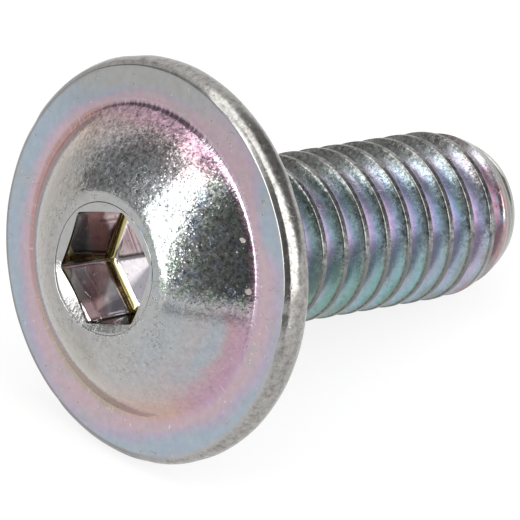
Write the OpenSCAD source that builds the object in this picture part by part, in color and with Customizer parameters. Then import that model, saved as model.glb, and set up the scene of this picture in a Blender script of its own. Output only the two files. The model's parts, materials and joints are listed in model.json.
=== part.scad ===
// Flanged button head screw with a hexagon socket and a metric coarse thread.
// It lies as it comes to rest, on the rim of its flange and the last full turn of its thread.
// The origin is on that surface, under the middle of the screw, and the point of the shank looks along +X.

/* [Thread] */
// Diameter over the crests of the thread
thread_d = 3.95; // [3.6:0.01:4.4]
// Pitch of the right-hand thread
pitch = 0.7; // [0.5:0.01:0.8]
// Length of the shank, from the bearing face to the end
shank_l = 10; // [7:0.1:20]
// Flat of a crest, as a share of the pitch
crest_share = 0.2; // [0.12:0.01:0.24]
// Depth of the thread, as a share of the pitch
depth_share = 0.57; // [0.5:0.01:0.6]
// Angle between the two flanks of a groove
flank_angle = 60; // [55:1:60]
// Length of the plain neck under the head
neck_l = 0.95; // [0.9:0.05:1.6]
// Length over which the thread rises from the neck to its full height
run_out_l = 0.9; // [0.4:0.05:2]
// Turn of the thread about its own axis
thread_turn = 327; // [0:1:359]
// Facets in one turn of the thread
turn_facets = 48; // [24:4:60]

/* [Point] */
// Diameter of the flat end
point_d = 2.95; // [2.6:0.05:3.4]
// Length of the rounded point
point_l = 1.6; // [0.8:0.05:2]

/* [Head] */
// Diameter over the rim of the flange
flange_d = 9.4; // [8.8:0.1:11]
// Thickness of the flange
flange_t = 0.75; // [0.6:0.05:1]
// How far the rounded rim stands out past the two edges of the flange
rim_bulge = 0.15; // [0.08:0.01:0.25]
// Height of the head over the bearing face
head_h = 2; // [1.8:0.05:2.4]
// Diameter of the dome where it meets the flange
dome_d = 7.2; // [6.6:0.05:7.4]
// Diameter of the flat top
top_d = 3.6; // [3.3:0.05:4]
// Radius of the hollow between the dome and the flange
dome_fillet = 0.15; // [0.05:0.01:0.25]
// Radius of the hollow between the bearing face and the neck
neck_fillet = 0.2; // [0.1:0.01:0.3]

/* [Socket] */
// Width across the flats of the socket
socket_af = 2.55; // [2.3:0.01:2.7]
// Depth of the socket, from the flat top to its floor
socket_depth = 1.6; // [1.1:0.05:1.7]
// Diameter of the countersunk mouth
mouth_d = 3; // [2.95:0.01:3.2]
// Included angle of the countersink
mouth_angle = 120; // [90:5:140]
// Height of the sloping edge all round the floor
floor_edge = 0.2; // [0.1:0.01:0.3]
// Turn of the socket about the axis
socket_turn = 53; // [0:1:59]

/* [Hidden] */
$fn = 96;
// Length by which a cut runs past the metal that it takes away
cut_room = 1;
// How far the bar of the thread lies inside the neck that it grows out of
neck_overlap = 0.02;

// Head
flange_r = flange_d / 2;
rim_edge_r = flange_r - rim_bulge;
rim_arc_r = (pow(flange_t / 2, 2) + pow(rim_bulge, 2)) / (2 * rim_bulge);
dome_r = dome_d / 2;
top_r = top_d / 2;
dome_rise = head_h - flange_t;
dome_centre_z = head_h - (pow(dome_r, 2) - pow(top_r, 2) + pow(dome_rise, 2)) / (2 * dome_rise);
dome_arc_r = norm([top_r, head_h - dome_centre_z]);
hollow_z = flange_t + dome_fillet;
hollow_r = sqrt(pow(dome_arc_r + dome_fillet, 2) - pow(hollow_z - dome_centre_z, 2));

// Thread
crest_r = thread_d / 2;
thread_depth = depth_share * pitch;
root_r = crest_r - thread_depth;
neck_r = crest_r - thread_depth / 2;
crest_half = crest_share * pitch / 2;
flank_run = thread_depth * tan(flank_angle / 2);
root_half = pitch / 2 - crest_half - flank_run;
point_r = point_d / 2;

// One pitch of the thread, from a crest towards the point: [share of the pitch, share of the depth]
crest_edge = crest_half / pitch;
root_edge = 0.5 - root_half / pitch;
flank_mid = (crest_edge + root_edge) / 2;
root_rounding = 0.05;
thread_profile = [
    [-crest_edge, 1],
    [crest_edge, 1],
    [flank_mid, 0.5],
    [root_edge, root_rounding],
    [0.5, 0],
    [1 - root_edge, root_rounding],
    [1 - flank_mid, 0.5]
];
profile_n = len(thread_profile);

// The grid of the thread starts inside the neck and ends past the flat end, where it is cut off
first_z = -neck_l + 2 * neck_overlap;
turn_n = ceil((shank_l - neck_l) / pitch + 0.5) + 1;
row_n = turn_n * profile_n;

function share(x) = min(1, max(0, x));

// Radius of the thread at a height and a share of its depth: it rises from the neck and is rounded at the point
bar_r = neck_r - neck_overlap;
waste_r = point_r / 4;
function rise(z) = share((-neck_l - neck_overlap - z) / run_out_l);
function risen_r(z, depth) = bar_r + rise(z) * (root_r + depth * thread_depth - bar_r);
function point_share(z) = max(0, 1 - (z + shank_l) / point_l);
function point_limit_r(z) = max(waste_r, crest_r - (crest_r - point_r) * pow(point_share(z), 2));
function thread_r(z, depth) = min(risen_r(z, depth), point_limit_r(z));

// Vertex of the thread in one column and one row, where each row follows the helix
function pitches_down(row) = floor(row / profile_n) + thread_profile[row % profile_n][0] + crest_edge;
function row_z(row) = first_z - pitch * pitches_down(row);
function vertex(column, row) =
    let (turned = column / turn_facets)
    let (z = row_z(row) + pitch * turned)
    let (r = thread_r(z, thread_profile[row % profile_n][1]))
    [r * cos(360 * turned), r * sin(360 * turned), z];

// Number of the vertex: past the last column the grid meets its own first column, one turn up
seam_start = row_n * turn_facets;
apex = seam_start + profile_n;
function vertex_n(column, row) =
    column < turn_facets ? row * turn_facets + column
    : row < profile_n ? seam_start + row
    : (row - profile_n) * turn_facets;

module thread_bar() {
    points = concat(
        [for (row = [0:row_n - 1]) for (column = [0:turn_facets - 1]) vertex(column, row)],
        [for (row = [0:profile_n - 1]) vertex(turn_facets, row)],
        [[0, 0, first_z + pitch / 2], [0, 0, row_z(row_n - 1) + pitch / 2]]
    );
    upper_rim = concat(
        [for (column = [0:turn_facets]) vertex_n(column, 0)],
        [for (row = [1:profile_n - 1]) vertex_n(turn_facets, row)]
    );
    lower_rim = concat(
        [for (column = [0:turn_facets]) vertex_n(column, row_n - 1)],
        [for (row = [row_n - profile_n:row_n - 2]) vertex_n(0, row)]
    );
    rim_n = len(upper_rim);
    walls = [
        for (row = [0:row_n - 2]) for (column = [0:turn_facets - 1]) each [
            [vertex_n(column, row), vertex_n(column + 1, row), vertex_n(column + 1, row + 1)],
            [vertex_n(column, row), vertex_n(column + 1, row + 1), vertex_n(column, row + 1)]
        ]
    ];
    upper_cap = [for (i = [0:rim_n - 1]) [apex, upper_rim[(i + 1) % rim_n], upper_rim[i]]];
    lower_cap = [for (i = [0:rim_n - 1]) [apex + 1, lower_rim[i], lower_rim[(i + 1) % rim_n]]];
    polyhedron(points, concat(walls, upper_cap, lower_cap));
}

// The threaded bar is cut off square at the end of the shank
module shank() {
    waste_l = 3 * pitch + cut_room;
    translate([0, 0, -neck_l]) cylinder(h = neck_l, r = neck_r);
    difference() {
        rotate([0, 0, thread_turn]) thread_bar();
        translate([0, 0, -shank_l - waste_l]) cylinder(h = waste_l, r = crest_r + cut_room);
    }
}

// Hollow between the bearing face and the neck
module neck_hollow() {
    rotate_extrude() difference() {
        translate([0, -neck_fillet]) square([neck_r + neck_fillet, neck_fillet]);
        translate([neck_r + neck_fillet, -neck_fillet]) circle(neck_fillet);
    }
}

// Flat disc with a barrel-shaped rim
module flange() {
    rotate_extrude() intersection() {
        square([flange_r + cut_room, flange_t]);
        union() {
            square([rim_edge_r, flange_t]);
            translate([flange_r - rim_arc_r, flange_t / 2]) circle(rim_arc_r);
        }
    }
}

// The dome is a cap of a sphere with a flat top, and starts inside the flange
module dome() {
    foot_z = flange_t / 2;
    intersection() {
        translate([0, 0, dome_centre_z]) sphere(dome_arc_r);
        translate([0, 0, foot_z]) cylinder(h = head_h - foot_z, r = dome_arc_r);
    }
}

// The dome's foot runs into the flange through a hollow that touches both
module dome_hollow() {
    touch_share = dome_arc_r / (dome_arc_r + dome_fillet);
    touch = [hollow_r * touch_share, dome_centre_z + (hollow_z - dome_centre_z) * touch_share];
    rotate_extrude() difference() {
        polygon([[top_r, flange_t], [hollow_r, flange_t], touch]);
        translate([hollow_r, hollow_z]) circle(dome_fillet);
    }
}

// The hexagon, with a sloping edge round its floor, and the countersink, which ends inside the hexagon
module socket() {
    hex_r = socket_af / 2 / cos(30);
    floor_z = head_h - socket_depth;
    mouth_fall = tan(mouth_angle / 2);
    mouth_over = 0.1;
    mouth_low_r = socket_af / 3;
    mouth_low_z = head_h - (mouth_d / 2 - mouth_low_r) / mouth_fall;
    mouth_high_r = mouth_d / 2 + mouth_over * mouth_fall;
    translate([0, 0, floor_z]) cylinder(h = floor_edge, r1 = hex_r - floor_edge, r2 = hex_r, $fn = 6);
    translate([0, 0, floor_z + floor_edge]) cylinder(h = socket_depth, r = hex_r, $fn = 6);
    translate([0, 0, mouth_low_z])
        cylinder(h = head_h + mouth_over - mouth_low_z, r1 = mouth_low_r, r2 = mouth_high_r);
}

// Crests straight under the axis, and the tilt at which each would touch the surface that the rim lies on
function crest_z(turn) = first_z - pitch * (turn + crest_share + (thread_turn - 180) / 360);
function tilt_on(z) =
    let (arm = flange_t / 2 - z)
    let (drop = flange_r - rim_arc_r - thread_r(z, 1))
    atan2(drop, arm) + asin(rim_arc_r / norm([arm, drop]));
rest_tilt = min([for (turn = [0:turn_n]) if (crest_z(turn) > -shank_l) tilt_on(crest_z(turn))]);

// Height of the bearing face's centre over the surface, and its distance from the middle of the lying screw
bearing_h = (flange_r - rim_arc_r) * cos(rest_tilt) + rim_arc_r - flange_t / 2 * sin(rest_tilt);
point_reach = shank_l * cos(rest_tilt) + point_r * sin(rest_tilt);
top_reach = head_h * cos(rest_tilt) + top_r * sin(rest_tilt);
rim_reach = flange_t / 2 * cos(rest_tilt) + (flange_r - rim_arc_r) * sin(rest_tilt) + rim_arc_r;
middle = (point_reach - max(top_reach, rim_reach)) / 2;

module screw() {
    color("#a9aaa8") translate([-middle, 0, bearing_h]) rotate([0, rest_tilt - 90, 0]) {
        difference() {
            union() {
                flange();
                dome();
                dome_hollow();
            }
            rotate([0, 0, socket_turn]) socket();
        }
        neck_hollow();
        shank();
    }
}

screw();
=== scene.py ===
# %% [markdown]
# # A zinc plated flange screw
# The object is one forged and rolled piece of steel: a button head with a flange and a hexagon
# socket, and a shank with a thread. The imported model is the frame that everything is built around.
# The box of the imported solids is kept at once, because the dressed screw has to stay inside it.

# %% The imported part
import json
import math

import bpy
import numpy as np
from mathutils import Matrix, Vector


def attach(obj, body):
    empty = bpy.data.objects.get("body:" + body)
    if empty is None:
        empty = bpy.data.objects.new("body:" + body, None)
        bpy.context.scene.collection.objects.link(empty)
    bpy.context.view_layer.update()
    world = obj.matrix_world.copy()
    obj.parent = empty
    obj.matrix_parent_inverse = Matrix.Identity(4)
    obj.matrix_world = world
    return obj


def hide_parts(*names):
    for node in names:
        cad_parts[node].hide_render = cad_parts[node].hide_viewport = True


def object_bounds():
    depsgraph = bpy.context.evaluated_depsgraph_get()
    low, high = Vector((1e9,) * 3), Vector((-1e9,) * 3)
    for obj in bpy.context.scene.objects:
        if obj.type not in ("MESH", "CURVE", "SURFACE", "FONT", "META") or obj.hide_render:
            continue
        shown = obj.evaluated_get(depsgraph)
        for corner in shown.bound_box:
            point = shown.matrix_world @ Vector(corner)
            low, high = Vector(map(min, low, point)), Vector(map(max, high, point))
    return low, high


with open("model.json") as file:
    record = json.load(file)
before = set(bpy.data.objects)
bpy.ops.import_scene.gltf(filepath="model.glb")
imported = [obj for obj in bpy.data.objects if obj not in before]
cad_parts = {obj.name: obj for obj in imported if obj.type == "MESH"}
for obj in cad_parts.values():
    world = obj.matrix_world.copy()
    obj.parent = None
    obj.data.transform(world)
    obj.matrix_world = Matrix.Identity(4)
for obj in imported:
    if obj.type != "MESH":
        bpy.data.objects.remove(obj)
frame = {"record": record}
solid_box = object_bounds()
MM = 0.001
scene = bpy.context.scene
print("solids from", tuple(solid_box[0]), "to", tuple(solid_box[1]))

# %% [markdown]
# ## Where the screw lies
# The screw lies on the rim of its flange and on its thread, so its axis is tilted. The record says
# where the axis meets the bearing face under the head, and which way the point looks. From these
# comes the screw's own frame: z runs out of the head, and the bearing face is at z = 0.

# %% The screw's own frame
mounts = {mount["name"]: mount for mount in frame["record"]["mounts"]}
bearing_centre = Vector(mounts["thread"]["pos_m"])
head_way = -Vector(mounts["thread"]["axis"]).normalized()
side_way = Vector((0, 1, 0))
up_way = side_way.cross(head_way)
own_axes = Matrix((up_way, side_way, head_way)).transposed()
print("axis tilted by", round(math.degrees(math.asin(head_way.z)), 2), "degrees")

# %% [markdown]
# ## Camera
# The photograph was taken from far away with a long lens: the flange and the far thread have almost
# the same scale. The lens, the angles and the aim were found by matching measured points of the
# screw to the picture. A camera could also be aimed by a constraint, but plain values stay put.

# %% Camera
LENS_MM = 623.08
SENSOR_MM = 36
CAMERA_AZIMUTH = math.radians(-42.626)
CAMERA_ELEVATION = math.radians(33.489)
CAMERA_DISTANCE = 204.87 * MM
AIM_RIGHT = 2.1254 * MM
AIM_UP = -0.046 * MM

camera_back = Vector((
    math.sin(CAMERA_AZIMUTH) * math.cos(CAMERA_ELEVATION),
    -math.cos(CAMERA_AZIMUTH) * math.cos(CAMERA_ELEVATION),
    math.sin(CAMERA_ELEVATION),
))
camera_right = Vector((math.cos(CAMERA_AZIMUTH), math.sin(CAMERA_AZIMUTH), 0))
camera_up = camera_back.cross(camera_right)
camera_data = bpy.data.cameras.new("photo_camera")
camera_data.sensor_width = SENSOR_MM
camera_data.lens = LENS_MM
camera_data.clip_start = 0.01
camera_data.clip_end = 10
camera = bpy.data.objects.new("photo_camera", camera_data)
scene.collection.objects.link(camera)
aim = bearing_centre + camera_right * AIM_RIGHT + camera_up * AIM_UP
camera_turn = Matrix((camera_right, camera_up, camera_back)).transposed().to_4x4()
camera.matrix_world = Matrix.Translation(aim + camera_back * CAMERA_DISTANCE) @ camera_turn
scene.camera = camera
print("camera at", tuple(round(v / MM, 2) for v in camera.matrix_world.translation), "mm")

# %% [markdown]
# ## Sizes
# The sizes of the screw, in millimetres, in its own frame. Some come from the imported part, and the
# rest repeats the sizes that the solids were made with. Only the countersink of the socket is
# flatter here, because the real one was pressed down a little round its mouth.

# %% Sizes
FLANGE_R = (solid_box[1].y - solid_box[0].y) / 2 / MM
FLANGE_T = 0.75
RIM_BULGE = 0.15
HEAD_H = 2.0
DOME_R = 3.6
TOP_R = 1.8
DOME_FILLET = 0.15
NECK_FILLET = 0.2
SOCKET_AF = 2.55
SOCKET_DEPTH = mounts["hex_socket"]["dims"]["length_mm"]
MOUTH_R = 1.5
MOUTH_FALL = math.tan(math.radians(72))
SOCKET_TURN = math.radians(53)
CREST_R = mounts["thread"]["dims"]["r_mm"]
PITCH = 0.7
THREAD_DEPTH = 0.57 * PITCH
CREST_SHARE = 0.2
SHANK_L = 10.0
NECK_L = 0.95
NECK_OVERLAP = 0.02
RUN_OUT_L = 0.9
THREAD_TURN = math.radians(327)
POINT_R = 1.475
POINT_L = 1.6
NECK_R = CREST_R - THREAD_DEPTH / 2
ROOT_R = CREST_R - THREAD_DEPTH
print("flange radius", round(FLANGE_R, 3), "thread crest radius", CREST_R)

# %% [markdown]
# ## The head's outline
# A lathe would turn this head from one outline, and so does the script: the outline is a line in
# the half plane of radius and height. Forging and plating leave no sharp edge, so the line is drawn
# with its corners and then smoothed along its length, which rounds every corner a little. A bevel
# modifier could do this too, but smoothing the line keeps the big arcs exact and the mesh even.

# %% Outline helpers
def arc(centre, radius, start, end, count):
    """Points of an arc in the plane of radius and height, angles in radians."""
    angles = np.linspace(start, end, count)
    return [(centre[0] + radius * math.cos(a), centre[1] + radius * math.sin(a)) for a in angles]


def soften(line, sigma, step=0.004):
    """The line sampled evenly, with its corners rounded over a length of about sigma."""
    line = np.array(line)
    along = np.r_[0, np.cumsum(np.hypot(*np.diff(line, axis=0).T))]
    even = np.linspace(0, along[-1], int(along[-1] / step))
    fine = np.c_[np.interp(even, along, line[:, 0]), np.interp(even, along, line[:, 1])]
    reach = int(4 * sigma / step)
    weight = np.exp(-0.5 * (np.arange(-reach, reach + 1) * step / sigma) ** 2)
    weight /= weight.sum()
    padded = np.r_[2 * fine[0] - fine[reach:0:-1], fine, 2 * fine[-1] - fine[-2:-reach - 2:-1]]
    return np.c_[np.convolve(padded[:, 0], weight, "valid"), np.convolve(padded[:, 1], weight, "valid")]


def pick_rows(line, longest, turn_deg):
    """Points of a smooth line, closer together where it bends."""
    way = np.diff(line, axis=0)
    length = np.hypot(way[:, 0], way[:, 1])
    heading = np.unwrap(np.arctan2(way[:, 1], way[:, 0]))
    bend = np.abs(np.diff(heading, prepend=heading[0]))
    cost = np.r_[0, np.cumsum(length / longest + np.degrees(bend) / turn_deg)]
    wanted = np.linspace(0, cost[-1], int(cost[-1]) + 2)
    return np.c_[np.interp(wanted, cost, line[:, 0]), np.interp(wanted, cost, line[:, 1])]


print("outline helpers: arc, soften, pick_rows")

# %% Dome, hollow and rim
dome_rise = HEAD_H - FLANGE_T
dome_centre_z = HEAD_H - (DOME_R ** 2 - TOP_R ** 2 + dome_rise ** 2) / (2 * dome_rise)
dome_arc_r = math.hypot(TOP_R, HEAD_H - dome_centre_z)
hollow_z = FLANGE_T + DOME_FILLET
hollow_r = math.sqrt((dome_arc_r + DOME_FILLET) ** 2 - (hollow_z - dome_centre_z) ** 2)
touch = math.atan2(hollow_z - dome_centre_z, hollow_r)
rim_edge_r = FLANGE_R - RIM_BULGE
rim_arc_r = ((FLANGE_T / 2) ** 2 + RIM_BULGE ** 2) / (2 * RIM_BULGE)
rim_half = math.asin(FLANGE_T / 2 / rim_arc_r)
EDGE_DROP = 0.09
EDGE_SLOPE = math.radians(48)
edge_turn = math.asin((FLANGE_T / 2 - EDGE_DROP) / rim_arc_r)
edge_r = FLANGE_R - rim_arc_r + rim_arc_r * math.cos(edge_turn) - EDGE_DROP * math.tan(EDGE_SLOPE)
print("the dome is part of a sphere of radius", round(dome_arc_r, 2))

# %% Head outline
JOIN_Z = -0.6
FLAT_R = 4.1
top_and_dome = soften(
    [(MOUTH_R, HEAD_H)]
    + arc((0, dome_centre_z), dome_arc_r, math.atan2(HEAD_H - dome_centre_z, TOP_R), touch, 60),
    sigma=0.09,
)
foot = soften(
    arc((hollow_r, hollow_z), DOME_FILLET, touch - math.pi, -math.pi / 2, 12) + [(FLAT_R, FLANGE_T)],
    sigma=0.022,
)
rim = soften(
    [(FLAT_R, FLANGE_T), (edge_r, FLANGE_T)]
    + arc((FLANGE_R - rim_arc_r, FLANGE_T / 2), rim_arc_r, edge_turn, -rim_half, 30)
    + [(FLAT_R, 0)],
    sigma=0.02,
)
bearing_and_neck = soften(
    [(FLAT_R, 0)]
    + arc((NECK_R + NECK_FILLET, -NECK_FILLET), NECK_FILLET, math.pi / 2, math.pi, 12)
    + [(NECK_R, JOIN_Z)],
    sigma=0.022,
)
# Where two lines meet, the points that both have are left out
outline = np.r_[top_and_dome[:-4], foot[3:-1], rim[:-1], bearing_and_neck]
head_rows = pick_rows(outline, longest=0.11, turn_deg=7)
print(len(head_rows), "rows in the head's outline")

# %% [markdown]
# ## The socket
# A punch shapes the hexagon, and the countersunk mouth cuts into its walls, which leaves a crescent
# over each flat. The rows of the socket are hexagons with slightly rounded corners that turn into
# circles at the mouth. A boolean could cut the hexagon out, but then its edges would be hard and the
# mesh around them ragged. The columns start at a corner of the hexagon, so the corners are kept.

# %% Hexagon with soft corners
COLUMNS = 192
CORNER_SOFTNESS = 0.012
column_angle = SOCKET_TURN + 2 * math.pi * np.arange(COLUMNS) / COLUMNS
whole = np.ones(COLUMNS)
from_corner = (column_angle - SOCKET_TURN) % (math.pi / 3)
flat_a = np.cos(from_corner - math.pi / 6)
flat_b = np.cos(from_corner + math.pi / 6)
flat_c = np.cos(from_corner - math.pi / 2)
nearest = np.maximum(flat_b, flat_c)
rounded = np.hypot((flat_a - nearest) / 2, CORNER_SOFTNESS)
hexagon = SOCKET_AF / 2 / ((flat_a + nearest) / 2 + rounded)
print("hexagon from", hexagon.min().round(3), "to", hexagon.max().round(3), "mm off the axis")

# %% Mouth of the socket
MOUTH_WIDER = 0.02
LEFT_BULGE = 0.11
RIGHT_BULGE = 0.05


def bump_at(angle, width):
    """1 in one direction round the axis, falling off over a width, both in degrees."""
    off = (np.degrees(column_angle) - angle + 180) % 360 - 180
    return np.exp(-(off / width) ** 2)


mouth = MOUTH_R + MOUTH_WIDER + LEFT_BULGE * bump_at(138, 36) + RIGHT_BULGE * bump_at(300, 30)
wall_top = HEAD_H - (mouth - hexagon) / MOUTH_FALL
print("mouth from", mouth.min().round(3), "to", mouth.max().round(3), "mm off the axis")

# %% Socket rows
FLOOR_CROWN = -0.002
FLOOR_ROUNDING = 0.22
WALL_DRAFT = math.tan(math.radians(2))
FLOOR_SHARES = (0.2, 0.4, 0.6, 0.75, 0.88)
FLOOR_BENDS = np.radians(np.linspace(0, 84, 8))
WALL_SHARES = (0.0, 0.15, 0.3, 0.45, 0.6, 0.75, 0.87, 0.95, 0.985)
CONE_SHARES = (0.03, 0.12, 0.5, 0.8, 0.9)
GROOVE_DEPTH = 0.014
LIP_WIDTH = 0.016
LIP_DROP = 0.003

floor_z = HEAD_H - SOCKET_DEPTH
wall_low = floor_z + FLOOR_ROUNDING
hexagon_low = hexagon * (1 - 2 * WALL_DRAFT * (SOCKET_DEPTH - FLOOR_ROUNDING) / SOCKET_AF)
floor_share = 1 - 2 * FLOOR_ROUNDING / SOCKET_AF
socket_rows = []
for share in FLOOR_SHARES:
    crown = FLOOR_CROWN * (1 - share ** 2)
    socket_rows.append((hexagon_low * share * floor_share, whole * (floor_z + crown)))
for turn in FLOOR_BENDS:
    share = floor_share + (1 - floor_share) * math.sin(turn)
    socket_rows.append((hexagon_low * share, whole * (floor_z + FLOOR_ROUNDING * (1 - math.cos(turn)))))
for share in WALL_SHARES:
    wall_r = hexagon_low + (hexagon - hexagon_low) * share
    socket_rows.append((wall_r, wall_low + (wall_top - wall_low) * share))
for share in CONE_SHARES:
    cone_r = hexagon + (mouth - hexagon) * share
    socket_rows.append((cone_r, HEAD_H - (mouth - cone_r) / MOUTH_FALL))
GROOVE_ROW = len(socket_rows)
socket_rows.append((mouth, whole * (HEAD_H - GROOVE_DEPTH)))
socket_rows.append((mouth + LIP_WIDTH, whole * (HEAD_H - LIP_DROP)))
print(len(socket_rows), "rows in the socket")

# %% [markdown]
# ## The thread
# A rolled thread is one ridge that winds round the shank. The rows of the mesh follow the helix, so
# a crest stays on the same row all the way and its edge is clean. Blender's Screw modifier can sweep
# such a ridge, but it can't let the ridge rise out of the neck or fade at the rounded point, and
# here the radius is worked out for each vertex. Rolling leaves a shallow seam along the crest, so
# the crest sags a little in its middle.

# %% Thread profile
CREST_SAG = 0.04
ROUNDING = 0.028
SHARE_STEP = 0.001
ROUNDING_REACH = 150
crest_half = CREST_SHARE / 2
root_start = crest_half + THREAD_DEPTH * math.tan(math.radians(30)) / PITCH
share_line = np.linspace(-1.5, 1.5, round(3 / SHARE_STEP) + 1)
off_crest = np.abs((share_line + 0.5) % 1 - 0.5)
ridge = np.clip(1 - (off_crest - crest_half) / (root_start - crest_half), 0, 1)
ridge -= CREST_SAG * np.clip(1 - off_crest / crest_half, 0, 1)
smooth_at = np.arange(-ROUNDING_REACH, ROUNDING_REACH + 1) * SHARE_STEP
smooth = np.exp(-0.5 * (smooth_at / ROUNDING) ** 2)
ridge = np.convolve(ridge, smooth / smooth.sum(), "same")
one_pitch = (share_line >= -0.5) & (share_line <= 0.5)
ridge_line = np.c_[share_line[one_pitch] * PITCH, ridge[one_pitch] * THREAD_DEPTH]
ridge_rows = pick_rows(ridge_line, longest=0.085, turn_deg=24)[:-1]
ridge_at = ridge_rows[:, 0] / PITCH
ridge_depth = ridge_rows[:, 1] / THREAD_DEPTH
per_turn = len(ridge_rows)
print(per_turn, "rows in one pitch")

# %% [markdown]
# ## The thread's two ends
# Near the head the ridge grows out of a plain neck, and at the point a rounded limit cuts it down.
# Rows that would pass the neck or the end are held there, so both ends close in a plain ring that
# the head and the end face share.

# %% Thread rows
END_EDGE = 0.03
POINT_ROOM = 0.002
POINT_SOFTNESS = 0.006
HOLD_ROOM = 0.01
FIRST_TURN = -2
LAST_TURN = 15
END_Z = -SHANK_L + END_EDGE
seam_turn = (SOCKET_TURN - THREAD_TURN) / (2 * math.pi)
first_crest = -NECK_L + 2 * NECK_OVERLAP - crest_half * PITCH + PITCH * seam_turn


def soft_min(a, b, room):
    """The smaller of two values, with the change between them rounded."""
    return (a + b) / 2 - np.hypot((a - b) / 2, room)


def thread_radius(z, depth):
    """Radius of the thread: it rises out of the neck and is rounded off at the point."""
    rise = np.clip((-NECK_L - z) / RUN_OUT_L, 0, 1)
    full = NECK_R + rise * (ROOT_R + depth * THREAD_DEPTH - NECK_R)
    to_end = np.clip(1 - (z + SHANK_L) / POINT_L, 0, 1)
    limit = CREST_R - (CREST_R - POINT_R) * to_end ** 2
    return np.where(to_end > 0, soft_min(full, limit - POINT_ROOM, POINT_SOFTNESS), full)


turns = np.arange(FIRST_TURN, LAST_TURN)
row_z = (first_crest - PITCH * (turns[:, None] + ridge_at[None, :])).ravel()
row_depth = np.tile(ridge_depth, len(turns))
thread_z = row_z[:, None] + PITCH * np.arange(COLUMNS)[None, :] / COLUMNS
above = thread_z > JOIN_Z - HOLD_ROOM
below = thread_z < END_Z + HOLD_ROOM
thread_r = thread_radius(np.clip(thread_z, END_Z, JOIN_Z), row_depth[:, None])
print(len(row_z), "rows in the thread")

# %% [markdown]
# ## Wear on the shape
# Real screws tumble in a barrel while they are plated and knock against each other. The rim gets
# small flats and dents and is never a perfect circle. These are moved vertices and not paint, so
# that they show in the outline from every side. A sculpted rim would look the same, but it could not
# be made again from a script.

# %% Dents and unevenness
# A dent is a direction in degrees, a height, a width and a depth
DENTS = (
    (279, 0.72, 0.16, 0.030), (268, 0.70, 0.22, 0.035), (290, 0.25, 0.20, 0.022),
    (252, 0.60, 0.25, 0.022), (345, 0.66, 0.22, 0.024), (25, 0.30, 0.30, 0.020),
    (70, 0.68, 0.24, 0.020), (128, 0.10, 0.30, 0.024), (196, 0.64, 0.20, 0.026),
    (215, 0.20, 0.26, 0.022), (312, 0.08, 0.25, 0.024), (158, 0.70, 0.18, 0.018),
)
# A wave is its number round the rim, its size and its shift
WAVES = ((3, 0.004, 0.4), (7, 0.003, 2.0), (11, 0.0025, 1.1), (23, 0.002, 0.3))
DENT_TALL = 0.16
RIM_REACH = 0.25
wave = sum(size * np.sin(count * column_angle + shift) for count, size, shift in WAVES)
wave_top = sum(size for count, size, shift in WAVES)


def worn_rim(radius, z):
    """Radius of one row of the head for every column, waved and dented near the rim."""
    near_rim = np.clip((radius - (rim_edge_r - RIM_REACH)) / RIM_REACH, 0, 1)
    moved = radius + near_rim * (wave - wave_top)
    for angle, height, width, depth in DENTS:
        off = (np.degrees(column_angle) - angle + 180) % 360 - 180
        across = np.radians(off) * FLANGE_R / width
        moved = moved - near_rim * depth * np.exp(-across ** 2 - ((z - height) / DENT_TALL) ** 2)
    return moved


MOUTH_LIP = 0.035
head_ring = []
for r, z in head_rows:
    to_mouth = np.clip((TOP_R - r) / (TOP_R - MOUTH_R), 0, 1)
    head_ring.append((worn_rim(r, z) + to_mouth * (mouth - MOUTH_R + MOUTH_LIP), whole * z))
print(len(DENTS), "dents on the rim")

# %% [markdown]
# ## One skin
# All rows are joined into one closed skin: the floor of the socket, its walls, the dome, the flange,
# the neck, the thread and the end face. One skin has no hidden faces, which matters when the mesh is
# exported. Separate bodies joined by a boolean would also close, but with uneven faces at the seams.

# %% Ring helpers
vertices = []
faces = []


def add_ring(radius, z):
    """Adds one ring of vertices and gives their numbers."""
    start = len(vertices)
    x = radius * np.cos(column_angle)
    y = radius * np.sin(column_angle)
    vertices.extend(np.c_[x, y, z * whole])
    return np.arange(start, start + COLUMNS)


def join_rings(inner, outer):
    faces.extend(zip(inner, outer, np.roll(outer, -1), np.roll(inner, -1)))


def close_ring(ring, z):
    """Closes a ring with a fan round a vertex on the axis."""
    middle = [len(vertices)] * COLUMNS
    vertices.append(np.array((0, 0, z)))
    faces.extend(zip(middle, ring, np.roll(ring, -1)))


print("ring helpers: add_ring, join_rings, close_ring")

# %% Rings of the head and the end
rings = [add_ring(radius, z) for radius, z in socket_rows + head_ring]
close_ring(rings[0], floor_z + FLOOR_CROWN)
for inner, outer in zip(rings, rings[1:]):
    join_rings(inner, outer)
neck_ring = rings[-1]

# A row of the end face is its inset from the edge and its height over the end
END_ROWS = ((0.012, 0.008), (0.04, 0.0), (0.3, 0.006), (0.8, 0.02))
END_DISH = 0.03
end_radius = thread_radius(np.full(COLUMNS, END_Z), 0.0)
end_ring = add_ring(end_radius, END_Z)
last = end_ring
for inset, lift in END_ROWS:
    ring = add_ring(end_radius - inset, -SHANK_L + lift)
    join_rings(last, ring)
    last = ring
close_ring(last[::-1], -SHANK_L + END_DISH)
print(len(rings) + len(END_ROWS) + 1, "rings in the head and the end")

# %% Skin of the thread
free = ~(above | below)
thread_number = np.where(above, neck_ring, end_ring)
thread_number[free] = len(vertices) + np.arange(free.sum())
thread_x = thread_r * np.cos(column_angle)
thread_y = thread_r * np.sin(column_angle)
vertices.extend(np.stack((thread_x, thread_y, thread_z), axis=-1)[free])

# Past the last column the helix meets its own first column, one pitch further up
one_up = np.maximum(np.arange(len(row_z)) - per_turn, 0)
grid = np.c_[thread_number, thread_number[one_up, 0]]
for upper, lower in zip(grid, grid[1:]):
    for column in range(COLUMNS):
        corners = (upper[column], lower[column], lower[column + 1], upper[column + 1])
        face = [c for i, c in enumerate(corners) if c != corners[i - 1]]
        if len(set(face)) > 2:
            faces.append(tuple(face))
print(len(faces), "faces with the thread")

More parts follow.
